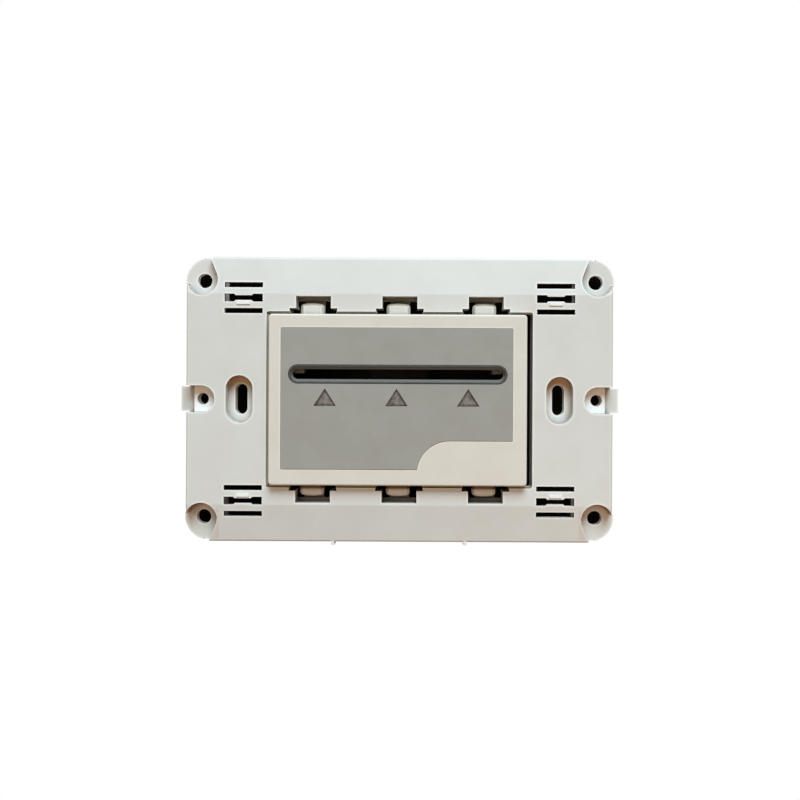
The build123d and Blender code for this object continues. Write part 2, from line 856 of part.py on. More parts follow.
def make_led_board():
    half = led_board_half
    board = slab((-half, half), (led_board_front, led_board_back), (led_board_low, led_board_top))
    through = (led_board_front - overrun, led_board_back + overrun)
    for x, z in link_places() + led_lead_places():
        board -= square_pin(x, z, through, pin_gap)
    return board


# Microswitch, on the main board, with its plunger against the cam
switch_end = 5.0
switch_left = cam_x - switch_end
switch_length = 12.8
switch_thickness = 5.8
switch_edge = 0.4
switch_hole_radius = 0.85
plunger_radius = 0.8
plunger_bevel = 0.5
plunger_inside = 2.6
switch_pin_pitch = 5.08
switch_pin_count = 3
switch_rivet_radius = 1.0


def switch_pin_places():
    middle = switch_left + switch_length / 2
    first = middle - (switch_pin_count - 1) / 2 * switch_pin_pitch
    return [(first + n * switch_pin_pitch, pivot_z) for n in range(switch_pin_count)]


def make_microswitch_case():
    half = switch_thickness / 2
    x = (switch_left, switch_left + switch_length)
    case = slab(x, (switch_front, main_board_front), (pivot_z - half, pivot_z + half))
    case = chamfer(case.edges().filter_by(Axis.Z), switch_edge)
    plunger_well = (switch_front - overrun, switch_front + plunger_inside + cam_lift + slide_gap)
    case -= rod_y(cam_x, pivot_z, switch_hole_radius, plunger_well)
    hole_y = (switch_front + main_board_front) / 2
    hole_z = (pivot_z - half - overrun, pivot_z + half + overrun)
    for hole_x in (x[0] + 2 * switch_rivet_radius, x[1] - 2 * switch_rivet_radius):
        case -= rod_z(hole_x, hole_y, switch_rivet_radius, hole_z)
    return case


def make_microswitch_plunger():
    stem = rod_y(cam_x, pivot_z, plunger_radius, (plunger_tip, switch_front + plunger_inside))
    return chamfer(stem.faces().sort_by(Axis.Y)[0].edges(), plunger_bevel)


def make_microswitch_pins():
    span = (main_board_front, main_board_back + pin_tail)
    return Compound([square_pin(x, z, span) for x, z in switch_pin_places()])


# Parts on the main board's front. Their insets are from the board's edges.
relay_left_inset = 4.8
relay_link_gap = 1.87
relay_low_inset = 1.4
relay_top_gap = 5.6
relay_left = relay_left_inset - main_board_half_width
relay_right = -link_half - relay_link_gap
relay_low = relay_low_inset - main_board_half_height
relay_high = throat_low - guide_plate - relay_top_gap
relay_height = 15.3
relay_round = 0.8
film_right_inset = 7.8
film_left = 4.0
film_right = main_board_half_width - film_right_inset
film_low_inset = 1.6
film_height = 13.0
film_round = 1.0
can_length = 11.5
can_groove = 0.4
can_groove_width = 0.8
can_gap = 2.5
can_guide_gap = 2.9
under_guide = main_board_half_height + throat_low - guide_plate
film_and_can = under_guide - film_low_inset - can_gap - can_guide_gap
film_width_share = 15 / 31
film_width = film_width_share * film_and_can
can_radius = (film_and_can - film_width) / 2
can_x = film_right - can_radius
can_z = film_low_inset + film_width + can_gap + can_radius - main_board_half_height
chip_left_inset = 10.8
chip_top_inset = 3.6
chip_length = 5.0
chip_width = 4.0
chip_height = 1.6
chip_lead = 0.9
chip_lead_width = 0.42
chip_lead_count = 4
resistor_half = 3.1
resistor_gap = 4.9
resistor_x = chip_left_inset + chip_length + resistor_gap + resistor_half - main_board_half_width
resistor_pitch = 4.0
resistor_count = 2
resistor_top_inset = 3.1
resistor_radius = 1.1

board_screw_inset_x = 3.2
board_screw_inset_z = 3.0
board_screw_x = main_board_half_width - board_screw_inset_x
board_screw_z = main_board_half_height - board_screw_inset_z
board_screw_radius = 1.4
board_screw_head_radius = 2.6
board_screw_head = 1.7
board_screw_length = 8.0
board_screw_slot = 0.7
boss_radius = 2.7


def board_box(left, low, length, width, height, edge_round):
    """A boxed part on the board's front, from its lower left corner."""
    box = slab((left, left + length), (main_board_front - height, main_board_front), (low, low + width))
    return fillet(box.edges().filter_by(Axis.Y), edge_round)


def make_delay_relay():
    width = relay_high - relay_low
    return board_box(relay_left, relay_low, relay_right - relay_left, width, relay_height, relay_round)


def make_supply_capacitor():
    low = film_low_inset - main_board_half_height
    return board_box(film_left, low, film_right - film_left, film_width, film_height, film_round)


def make_smoothing_capacitor():
    """A round can with the rolled groove near its foot."""
    can = rod_y(can_x, can_z, can_radius, (main_board_front - can_length, main_board_front))
    groove_end = main_board_front - can_groove_width
    groove = (groove_end - can_groove_width, groove_end)
    ring = rod_y(can_x, can_z, can_radius + overrun, groove)
    return can - (ring - rod_y(can_x, can_z, can_radius - can_groove, groove))


def make_control_chip():
    """A small packaged chip with a row of flat feet along each long side."""
    left = chip_left_inset - main_board_half_width
    top = main_board_half_height - chip_top_inset
    low = top - chip_width
    depth = (main_board_front - chip_height, main_board_front)
    chip = slab((left, left + chip_length), depth, (low, top))
    step = chip_length / chip_lead_count
    for n in range(chip_lead_count):
        middle = left + step / 2 + n * step
        pair = (middle - chip_lead_width / 2, middle + chip_lead_width / 2)
        foot_y = (main_board_front - chip_height / 2, main_board_front)
        chip += slab(pair, foot_y, (low - chip_lead, top + chip_lead))
    return chip


def make_resistors():
    """Two barrel resistors lying across the board."""
    bodies = []
    for n in range(resistor_count):
        z = main_board_half_height - resistor_top_inset - n * resistor_pitch
        y = main_board_front - resistor_radius
        left = resistor_x - resistor_half
        right = resistor_x + resistor_half
        bodies.append(rod_x(y, z, resistor_radius, (left, right)))
    return Compound(bodies)


def board_screw_places():
    return [(-board_screw_x, board_screw_z), (board_screw_x, board_screw_z)]


def make_board_screws():
    screws = []
    for x, z in board_screw_places():
        head = (main_board_front - board_screw_head, main_board_front)
        shank_end = main_board_front + board_screw_length
        screw = rod_y(x, z, board_screw_head_radius, head)
        screw += rod_y(x, z, board_screw_radius, (main_board_front, shank_end))
        half = board_screw_slot / 2
        wide = board_screw_head_radius
        cut_y = (head[0] - overrun, head[0] + board_screw_head / 2)
        screws.append(screw - slab((x - wide, x + wide), cut_y, (z - half, z + half)))
    return Compound(screws)


def make_main_board():
    wide = main_board_half_width
    high = main_board_half_height
    board = slab((-wide, wide), (main_board_front, main_board_back), (-high, high))
    through = (main_board_front - overrun, main_board_back + overrun)
    for x, z in link_places() + switch_pin_places():
        board -= square_pin(x, z, through, pin_gap)
    for x in terminal_xs():
        half = bar_tail_width / 2 + pin_gap
        board -= slab((x - half, x + half), through, (bar_tail_low - pin_gap, bar_tail_high + pin_gap))
    for x, z in board_screw_places():
        board -= rod_y(x, z, board_screw_radius + running_fit, through)
    return board


# Terminals: a screw draws each cage back, which clamps the wire against the bar
terminal_count = 4
terminal_pitch = 9.5
block_end_wall = 0.8
block_low_gap = 0.55
block_top_wall = 2.2
block_proud = 0.6
block_bevel = 0.4
screw_head_radius = 2.4
screw_head = 1.4
screw_head_sink = 0.8
screw_radius = 1.5
screw_tip_gap = 0.1
screw_slot = 0.8
screw_slot_depth = 0.8
web_thickness = 1.2
cage_front_gap = 0.7
cage_width = 6.6
cage_height = 6.0
cage_depth = 5.9
cage_side = 0.9
cage_front_wall = 1.2
cage_thread_wall = 1.6
cage_travel = 1.8
cage_gap = 0.15
cage_low_inset = 3.0
wire_room = 2.1
bar_width = cage_width - 2 * cage_side - 2 * bar_side_gap
bar_thickness = 0.8
bar_tail_width = 1.4
bar_tail_rise = 0.65
bar_foot = 0.3
wire_radius = 1.8
link_rise = 0.7

block_low = block_low_gap + housing_wall - housing_height / 2
terminal_z = block_low + cage_low_inset + cage_height / 2
cage_front = main_board_back + cage_front_gap
cage_back = cage_front + cage_depth
bar_front = cage_front + cage_front_wall + wire_room
bar_back = bar_front + bar_thickness
bar_tail_low = terminal_z + cage_height / 2 + cage_gap + bar_tail_rise
bar_tail_high = bar_tail_low + bar_thickness
block_high = bar_tail_high + block_top_wall
link_z = block_high + link_rise
led_board_low = link_z - led_board_foot
web_front = cage_back + cage_travel + slide_gap
web_back = web_front + web_thickness
screw_end = web_back + screw_head
block_end = screw_end + screw_head_sink
housing_end = block_end - block_proud
wire_y = (cage_front + cage_front_wall + bar_front) / 2


def terminal_xs():
    return [(n - (terminal_count - 1) / 2) * terminal_pitch for n in range(terminal_count)]


def make_terminal_screw(x):
    screw = rod_y(x, terminal_z, screw_head_radius, (web_back, screw_end))
    screw += rod_y(x, terminal_z, screw_radius, (bar_back + screw_tip_gap, web_back))
    half = screw_slot / 2
    slot_y = (screw_end - screw_slot_depth, screw_end + overrun)
    wide = screw_head_radius + overrun
    return screw - slab((x - wide, x + wide), slot_y, (terminal_z - half, terminal_z + half))


def make_terminal_cage(x):
    """A square cage, open up and down, with the threaded hole in its rear wall."""
    low = terminal_z - cage_height / 2
    high = terminal_z + cage_height / 2
    cage = slab((x - cage_width / 2, x + cage_width / 2), (cage_front, cage_back), (low, high))
    inside = cage_width / 2 - cage_side
    hollow_y = (cage_front + cage_front_wall, cage_back - cage_thread_wall)
    cage -= slab((x - inside, x + inside), hollow_y, (low - overrun, high + overrun))
    bore_y = (hollow_y[1] - overrun, cage_back + overrun)
    return cage - rod_y(x, terminal_z, screw_radius + running_fit, bore_y)


def make_terminal_bar(x):
    """The fixed strip that the wire is clamped to, with its tail through the board."""
    half = bar_width / 2
    foot = terminal_z - cage_height / 2 - cage_gap + bar_foot
    bar = slab((x - half, x + half), (bar_front, bar_back), (foot, bar_tail_high))
    tail_z = (bar_tail_low, bar_tail_high)
    bar += slab((x - half, x + half), (main_board_back + slide_gap, bar_back), tail_z)
    tail = bar_tail_width / 2
    return bar + slab((x - tail, x + tail), (main_board_front, bar_back), tail_z)


def make_terminal_block():
    half = terminal_count * terminal_pitch / 2 + block_end_wall
    block = slab((-half, half), (main_board_back, block_end), (block_low, block_high))
    block = chamfer(block.edges().filter_by(Axis.Y), block_bevel)
    well = cage_width / 2 + cage_gap
    well_z = (terminal_z - cage_height / 2 - cage_gap, terminal_z + cage_height / 2 + cage_gap)
    for x in terminal_xs():
        block -= slab((x - well, x + well), (main_board_back - overrun, web_front), well_z)
        block -= rod_y(x, terminal_z, screw_radius + cage_gap, (web_front - overrun, web_back + overrun))
        block -= rod_y(x, terminal_z, screw_head_radius + slide_gap, (web_back, block_end + overrun))
        bar = bar_width / 2 + running_fit
        channel = (bar_tail_low - running_fit, bar_tail_high + running_fit)
        block -= slab((x - bar, x + bar), (main_board_back - overrun, bar_back + running_fit), channel)
        riser = (bar_front - running_fit, bar_back + running_fit)
        block -= slab((x - bar, x + bar), riser, (terminal_z, channel[1]))
        block -= rod_z(x, wire_y, wire_radius, (block_low - overrun, terminal_z))
    return block


# Rear housing
housing_overlap = 4.0
housing_front = skirt_end - housing_overlap
housing_rear_wall = 1.8
housing_round = 1.6
flange_thickness = 1.4
flange_gap = 0.3
ramp_width = 4.6
ramp_height = 1.0
ramp_gap = 0.2
shelf_reach = 2.0
shelf_thickness = 1.2
wire_hole_gap = 0.15
key_rib_width = 1.6
key_rib_height = 0.8
key_rib_z = 12.0
key_rib_front = 10.0


def housing_ramp():
    """The upper right ramp that snaps into the hook's window."""
    top = housing_height / 2
    start = hook_window_start + ramp_gap
    end = hook_window_start + hook_window_length - ramp_gap
    low = top - housing_wall / 2
    points = [(start, low), (start, top), (end, top + ramp_height), (end, low)]
    return side_prism(points, (hook_x - ramp_width / 2, hook_x + ramp_width / 2))


def make_rear_housing():
    outline = RectangleRounded(housing_width, housing_height, housing_round)
    body = prism(outline, housing_end, housing_front)
    back_edges = body.faces().sort_by(Axis.Y)[-1].edges()
    body = chamfer(back_edges, housing_wall / 2)
    inner = Rectangle(housing_width - 2 * housing_wall, housing_height - 2 * housing_wall)
    inner_end = housing_end - housing_rear_wall
    body -= prism(inner, inner_end, housing_front - overrun)
    flange = RectangleRounded(cover_width, cover_height, cover_corner) - Rectangle(
        housing_width - housing_wall, housing_height - housing_wall
    )
    ring = prism(flange, skirt_end + flange_thickness, skirt_end)
    notch_x = (hook_x - hook_width / 2 - flange_gap, hook_x + hook_width / 2 + flange_gap)
    notch_y = (skirt_end - overrun, skirt_end + flange_thickness + overrun)
    notch = slab(notch_x, notch_y, (housing_height / 2, cover_height / 2 + overrun))
    for cut in mirrored(notch):
        ring -= cut
    body += ring
    for ramp in mirrored(housing_ramp()):
        body += ramp
    wall_x = housing_width / 2 - housing_wall
    shelf_x = (wall_x - shelf_reach, wall_x + housing_wall / 2)
    shelf_y = (skirt_end, guide_end)
    under = throat_low - guide_plate - face_gap
    over = throat_high + guide_plate + face_gap
    for z in ((under - shelf_thickness, under), (over, over + shelf_thickness)):
        for shelf in mirrored(slab(shelf_x, shelf_y, z), up_down=False):
            body += shelf
    for side in (-1, 1):
        outside = wall_x + housing_wall + key_rib_height
        pair = sorted((side * (wall_x + housing_wall / 2), side * outside))
        for z in (-key_rib_z, key_rib_z):
            rib_z = (z - key_rib_width / 2, z + key_rib_width / 2)
            body += slab(pair, (key_rib_front, housing_end - housing_wall), rib_z)
    for x, z in board_screw_places():
        body += rod_y(x, z, boss_radius, (main_board_back, inner_end + housing_rear_wall / 2))
        bore = (main_board_back - overrun, main_board_front + board_screw_length + slide_gap)
        body -= rod_y(x, z, board_screw_radius + push_fit, bore)
    block_half = terminal_count * terminal_pitch / 2 + block_end_wall + slide_gap
    window_z = (block_low - slide_gap, block_high + slide_gap)
    body -= slab((-block_half, block_half), (inner_end - overrun, housing_end + overrun), window_z)
    wire_half = (terminal_count - 1) * terminal_pitch / 2 + wire_radius + wire_hole_gap
    wire_mouth = (wire_y - wire_radius - wire_hole_gap, wire_y + wire_radius + wire_hole_gap)
    low = -housing_height / 2 - overrun
    return body - slab((-wire_half, wire_half), wire_mouth, (low, block_low - face_gap))


os.makedirs("parts", exist_ok=True)

module_parts = {
    "front_cover": make_front_cover(),
    "label_plate": make_label_plate(),
    "slot_escutcheon": make_slot_escutcheon(),
    "card_guide_lower": make_card_guide_lower(),
    "card_guide_upper": make_card_guide_upper(),
    "guide_ribs": make_guide_ribs(),
    "card_lever": make_card_lever(),
    "lever_pin": make_lever_pin(),
    "lever_spring": make_lever_spring(),
    "microswitch_case": make_microswitch_case(),
    "microswitch_plunger": make_microswitch_plunger(),
    "microswitch_pins": make_microswitch_pins(),
    "led_board": make_led_board(),
    "led_leads": make_led_leads(),
    "link_pins": make_link_pins(),
    "main_board": make_main_board(),
    "delay_relay": make_delay_relay(),
    "supply_capacitor": make_supply_capacitor(),
    "smoothing_capacitor": make_smoothing_capacitor(),
    "control_chip": make_control_chip(),
    "resistors": make_resistors(),
    "board_screws": make_board_screws(),
    "terminal_block": make_terminal_block(),
    "rear_housing": make_rear_housing(),
}
for place, x in zip(("left", "centre", "right"), arrow_xs()):
    module_parts[f"arrow_lens_{place}"] = make_arrow_lens(x)
    module_parts[f"led_{place}"] = make_led(x)
for number, x in enumerate(terminal_xs(), 1):
    module_parts[f"terminal_bar_{number}"] = make_terminal_bar(x)
    module_parts[f"terminal_cage_{number}"] = make_terminal_cage(x)
    module_parts[f"terminal_screw_{number}"] = make_terminal_screw(x)

export_step(make_support_frame(), "parts/support_frame.step")
for name, shape in module_parts.items():
    export_step(Pos(module_shift_x, 0, 0) * shape, f"parts/{name}.step")
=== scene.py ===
import json
import math

import bmesh
import bpy
from mathutils import Matrix, Vector


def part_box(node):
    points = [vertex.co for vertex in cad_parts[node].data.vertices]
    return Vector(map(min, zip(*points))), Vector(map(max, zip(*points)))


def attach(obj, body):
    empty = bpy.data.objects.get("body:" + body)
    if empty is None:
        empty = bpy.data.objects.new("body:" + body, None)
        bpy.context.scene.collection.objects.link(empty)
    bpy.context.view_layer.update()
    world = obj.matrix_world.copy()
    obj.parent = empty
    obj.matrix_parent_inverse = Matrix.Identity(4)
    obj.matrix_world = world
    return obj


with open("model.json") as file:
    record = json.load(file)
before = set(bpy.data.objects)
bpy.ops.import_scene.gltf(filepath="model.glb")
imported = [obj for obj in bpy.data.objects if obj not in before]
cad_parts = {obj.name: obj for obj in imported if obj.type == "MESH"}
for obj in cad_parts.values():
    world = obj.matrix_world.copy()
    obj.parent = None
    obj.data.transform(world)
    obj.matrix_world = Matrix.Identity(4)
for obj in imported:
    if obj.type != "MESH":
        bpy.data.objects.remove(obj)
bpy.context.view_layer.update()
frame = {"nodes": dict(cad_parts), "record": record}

MM = 0.001

# The frame's opening with the notches of its snap windows, and the lip round it
FRAME_DEPTH = 7.0 * MM
OPENING_WIDTH = 69.3 * MM
OPENING_HEIGHT = 45.8 * MM
MODULE_PITCH = 22.5 * MM
WINDOW_NOTCH = 11.9 * MM
LIP_WIDTH = 0.45 * MM
LIP_DEPTH = 0.5 * MM
LIP_THICKNESS = 0.8 * MM

# The ring round the card slot: the height of its middle line, half the length of its
# straight part, and the distances from that line over which it turns to a painted groove shade
RING_MIDDLE_Z = 6.55 * MM
RING_STRAIGHT = 25.8 * MM
RING_GROOVE_PAINTED_SHADE = (1.72 * MM, 1.95 * MM)


# Node helpers


def linear(r, g, b):
    """A screen colour, 0 to 255 each, as the linear colour that shaders use."""
    shades = [c / 255 for c in (r, g, b)]
    return [c / 12.92 if c <= 0.04045 else ((c + 0.055) / 1.055) ** 2.4 for c in shades]


class Nodes:
    """A material's node tree, with short calls for the nodes that the finishes share."""

    def __init__(self, name):
        self.material = bpy.data.materials.new(name)
        self.material.use_nodes = True
        self.tree = self.material.node_tree
        self.tree.nodes.clear()
        self.output = self.add("ShaderNodeOutputMaterial")
        self.place = self.add("ShaderNodeTexCoord").outputs["Object"]

    def add(self, kind, **settings):
        node = self.tree.nodes.new(kind)
        for key, value in settings.items():
            setattr(node, key, value)
        return node

    def link(self, source, socket):
        self.tree.links.new(source, socket)

    def feed(self, socket, value):
        """A link where value is another node's output, or else a set value."""
        if isinstance(value, bpy.types.NodeSocket):
            self.link(value, socket)
        else:
            socket.default_value = value

    def feed_colour(self, socket, colour):
        self.feed(socket, colour if isinstance(colour, bpy.types.NodeSocket) else (*colour, 1))

    def math(self, operation, a, b=0.0, clamp=False):
        node = self.add("ShaderNodeMath", operation=operation, use_clamp=clamp)
        self.feed(node.inputs[0], a)
        self.feed(node.inputs[1], b)
        return node.outputs[0]

    def ramp(self, value, low, high):
        """value brought to 0 at low and 1 at high."""
        node = self.add("ShaderNodeMapRange", clamp=True)
        self.feed(node.inputs["Value"], value)
        node.inputs["From Min"].default_value = low
        node.inputs["From Max"].default_value = high
        return node.outputs["Result"]

    def stretched(self, x, y, z):
        """Object coordinates, in millimetres, stretched along each axis."""
        node = self.add("ShaderNodeMapping")
        self.link(self.place, node.inputs["Vector"])
        node.inputs["Scale"].default_value = (x / MM, y / MM, z / MM)
        return node.outputs["Vector"]

    def length(self, a, b):
        squares = [self.math("MULTIPLY", value, value) for value in (a, b)]
        return self.math("SQRT", self.math("ADD", *squares))

    def noise(self, size, detail=3.0, roughness=0.55, where=None):
        """Noise whose blotches are about size millimetres wide."""
        node = self.add("ShaderNodeTexNoise")
        self.link(where or self.stretched(1, 1, 1), node.inputs["Vector"])
        node.inputs["Scale"].default_value = 1 / size
        node.inputs["Detail"].default_value = detail
        node.inputs["Roughness"].default_value = roughness
        return node.outputs["Fac"]

    def mix(self, factor, a, b):
        node = self.add("ShaderNodeMix", data_type="RGBA")
        self.feed(node.inputs[0], factor)
        self.feed_colour(node.inputs[6], a)
        self.feed_colour(node.inputs[7], b)
        return node.outputs[2]

    def crevice(self, reach):
        """1 in the open and falling to 0 in corners and gaps narrower than reach millimetres."""
        node = self.add("ShaderNodeAmbientOcclusion", samples=8, only_local=False)
        node.inputs["Distance"].default_value = reach * MM
        return node.outputs["AO"]

    def axes(self):
        """Object coordinates: distance from the middle plane across, depth, and height."""
        parts = self.add("ShaderNodeSeparateXYZ")
        self.link(self.place, parts.inputs[0])
        return self.math("ABSOLUTE", parts.outputs["X"]), parts.outputs["Y"], parts.outputs["Z"]

    def product(self, *factors):
        result = factors[0]
        for factor in factors[1:]:
            result = self.math("MULTIPLY", result, factor)
        return result

    def between(self, value, low, high):
        """1 where value is from low to high millimetres."""
        node = self.add("ShaderNodeMath", operation="COMPARE")
        self.feed(node.inputs[0], value)
        node.inputs[1].default_value = (low + high) / 2 * MM
        node.inputs[2].default_value = (high - low) / 2 * MM
        return node.outputs[0]

    def region(self, across, depth, height, both_ends=True):
        """1 inside ranges in millimetres of distance across, depth, and height up (and down)."""
        x, y, z = self.axes()
        if both_ends:
            z = self.math("ABSOLUTE", z)
        ranges = (x, across), (y, depth), (z, height)
        return self.product(*(self.between(value, *limits) for value, limits in ranges))

    def facing(self, axis, low, high):
        """The object normal's part along an axis, brought to 0 at low and 1 at high."""
        parts = self.add("ShaderNodeSeparateXYZ")
        self.link(self.add("ShaderNodeTexCoord").outputs["Normal"], parts.inputs[0])
        return self.ramp(parts.outputs[axis], low, high)

    def deeper(self, front, back):
        """0 in front of the depth front, 1 behind the depth back, both in millimetres."""
        return self.ramp(self.axes()[1], front * MM, back * MM)

    def soft_edges(self, radius):
        """A normal that rounds every edge by radius millimetres."""
        node = self.add("ShaderNodeBevel", samples=4)
        node.inputs["Radius"].default_value = radius * MM
        return node.outputs["Normal"]

    def edges(self, radius):
        """1 near edges, 0 on flat faces."""
        dot = self.add("ShaderNodeVectorMath", operation="DOT_PRODUCT")
        self.link(self.soft_edges(radius), dot.inputs[0])
        self.link(self.add("ShaderNodeNewGeometry").outputs["Normal"], dot.inputs[1])
        return self.ramp(dot.outputs["Value"], 0.995, 0.9)

    def bump(self, height, strength, depth, normal=None):
        node = self.add("ShaderNodeBump")
        self.feed(node.inputs["Height"], height)
        node.inputs["Strength"].default_value = strength
        node.inputs["Distance"].default_value = depth * MM
        if normal is not None:
            self.link(normal, node.inputs["Normal"])
        return node.outputs["Normal"]

    def surface(self, colour, roughness, normal=None, **constants):
        """A Principled surface. Keyword names are socket names with _ for spaces."""
        shader = self.add("ShaderNodeBsdfPrincipled")
        self.feed_colour(shader.inputs["Base Color"], colour)
        self.feed(shader.inputs["Roughness"], roughness)
        if normal is not None:
            self.link(normal, shader.inputs["Normal"])
        for name, value in constants.items():
            shader.inputs[name.replace("_", " ")].default_value = value
        self.link(shader.outputs["BSDF"], self.output.inputs["Surface"])
        return shader


# Painted shade and light inside the frame's recesses, and painted shadow on the cover's catches
#
# Each place is a range in millimetres of distance from the middle across, of depth, and of
# height both up and down. Ranges end inside the walls, so that nothing shows from behind.

SINKS = (37.9, 45.6), (-6.8, -2.3), (0, 6.5)
LUG_POCKETS = (47.3, 56.5), (-6.8, -2.3), (0, 3.7)
CORNER_POCKETS = (47, 56.5), (-6.8, -2.3), (26.8, 36.5)
LUG_FLOORS = (47.7, 53.9), (-5.2, -3.9), (0, 3.35)
WINDOW_LEDGES = (0, 34), (-3.9, -2.0), (22.5, 27.1)
CLIP_SLOTS = (35.4, 46), (-6.15, -5.28), (22, 31.2)

# Round-ended floors: distance of the centre from the middle, radius, the centre's height,
# and how far the upper end's curve is moved down to be the painted shadow's lower edge. Then
# the heights above that curve's centre over which the painted shadow begins, and its softness
SINK_END = (41.75, 3.5, 2.7, 1.9)
CORNER_END = (51.63, 4.1, -31.13, 0.8)
END_FLOORS_DEPTH = (-6.5, -2.3)
END_BEGINS = (0.3, 1.6)
END_SOFTNESS = 0.25
END_MARGIN = 0.2

# The cover's lower catches: where they leave it, and the heights over which its painted shadow
# ends
CATCH_TOP = -22.17
CATCH_TURNS = (-23.7, -23.1)

# Depths over which the painted corner shade begins behind the face, and the nubs' painted
# highlight in front of it
CORNER_SHADE_BEGINS = (-7.0, -6.8)
NUBS_BEGIN = (-7.02, -7.06)

# Parts of the normal over which a wall counts as facing the front, or down
TO_THE_FRONT = ("Y", -0.3, -0.7)
DOWNWARD = ("Z", -0.05, -0.75)

# A painted warm shade on the recesses' walls that face down
UNDERSIDE_PAINTED_SHADE = linear(168, 96, 48)
# Painted shadows under the upper walls of the sinks and the corner pockets
SINK_END_PAINTED_SHADOW = linear(190, 168, 136)
CORNER_END_PAINTED_SHADOW = linear(176, 140, 108)
# A painted brightening of the lug pockets' floors, against the shade that falls there
LUG_FLOOR_PAINTED_LIGHT = linear(240, 243, 243)
# Painted shade on the ledges deep in the snap windows
LEDGE_PAINTED_SHADE = linear(122, 122, 116)
# A painted highlight on the nubs in front of the face
NUB_PAINTED_HIGHLIGHT = linear(236, 236, 236)
# Painted near-black shade on the clip slots' walls
CLIP_SLOT_PAINTED_SHADE = linear(10, 9, 8)
# The cover's painted shadow on its lower catches
CATCH_ROOT_PAINTED_SHADOW = linear(98, 66, 44)


def undersides(n):
    """1 on the walls facing down in the box slots' sinks and the screw pockets: painted warm
    shade.
    """
    pockets = n.math("ADD", n.region(*LUG_POCKETS), n.region(*CORNER_POCKETS))
    inside = n.math("ADD", n.region(*SINKS), pockets, clamp=True)
    return n.product(n.facing(*DOWNWARD), inside)


def upper_end(n, side, radius, rise, drop):
    """1 on the floors of a pair of round-ended sinks, near their upper ends, where the upper
    wall's shadow is painted.

    The patch's lower edge is the upper end's own curve, drop further down.
    """
    x, y, z = n.axes()
    across = n.math("SUBTRACT", x, side * MM)
    up = n.math("SUBTRACT", z, (rise - drop) * MM)
    curve = (radius - END_SOFTNESS) * MM, (radius + END_SOFTNESS) * MM
    beyond = n.ramp(n.length(across, up), *curve)
    above = n.ramp(up, *(height * MM for height in END_BEGINS))
    reach = radius + END_MARGIN
    sides, heights = (side - reach, side + reach), (rise - drop, rise + reach)
    here = n.region(sides, END_FLOORS_DEPTH, heights, both_ends=False)
    return n.product(beyond, above, here, n.facing(*TO_THE_FRONT))


def front_floor(n, place):
    """1 on the surfaces of a place that face the front."""
    return n.product(n.region(*place), n.facing(*TO_THE_FRONT))


def catch_roots(n):
    """1 where the cover's lower catches leave it, 0 at their tips: the cover's painted shadow."""
    z = n.axes()[2]
    below_cover = n.math("LESS_THAN", z, CATCH_TOP * MM)
    return n.product(below_cover, n.ramp(z, *(height * MM for height in CATCH_TURNS)))


def painted_recess_light(n, shade):
    """Painted shade and light in the frame's recesses and a painted highlight on its nubs, over
    its plain shade.
    """
    shade = n.mix(undersides(n), shade, UNDERSIDE_PAINTED_SHADE)
    shade = n.mix(upper_end(n, *SINK_END), shade, SINK_END_PAINTED_SHADOW)
    shade = n.mix(upper_end(n, *CORNER_END), shade, CORNER_END_PAINTED_SHADOW)
    shade = n.mix(front_floor(n, LUG_FLOORS), shade, LUG_FLOOR_PAINTED_LIGHT)
    shade = n.mix(front_floor(n, WINDOW_LEDGES), shade, LEDGE_PAINTED_SHADE)
    return n.mix(n.deeper(*NUBS_BEGIN), shade, NUB_PAINTED_HIGHLIGHT)


# Finishes

# Openness at which edges turn pale, part wear and part painted highlight; deeper in at catches
RIM_OPEN_AIR = (0.55, 0.8)
CATCH_RIM_OPEN_AIR = (0.15, 0.4)


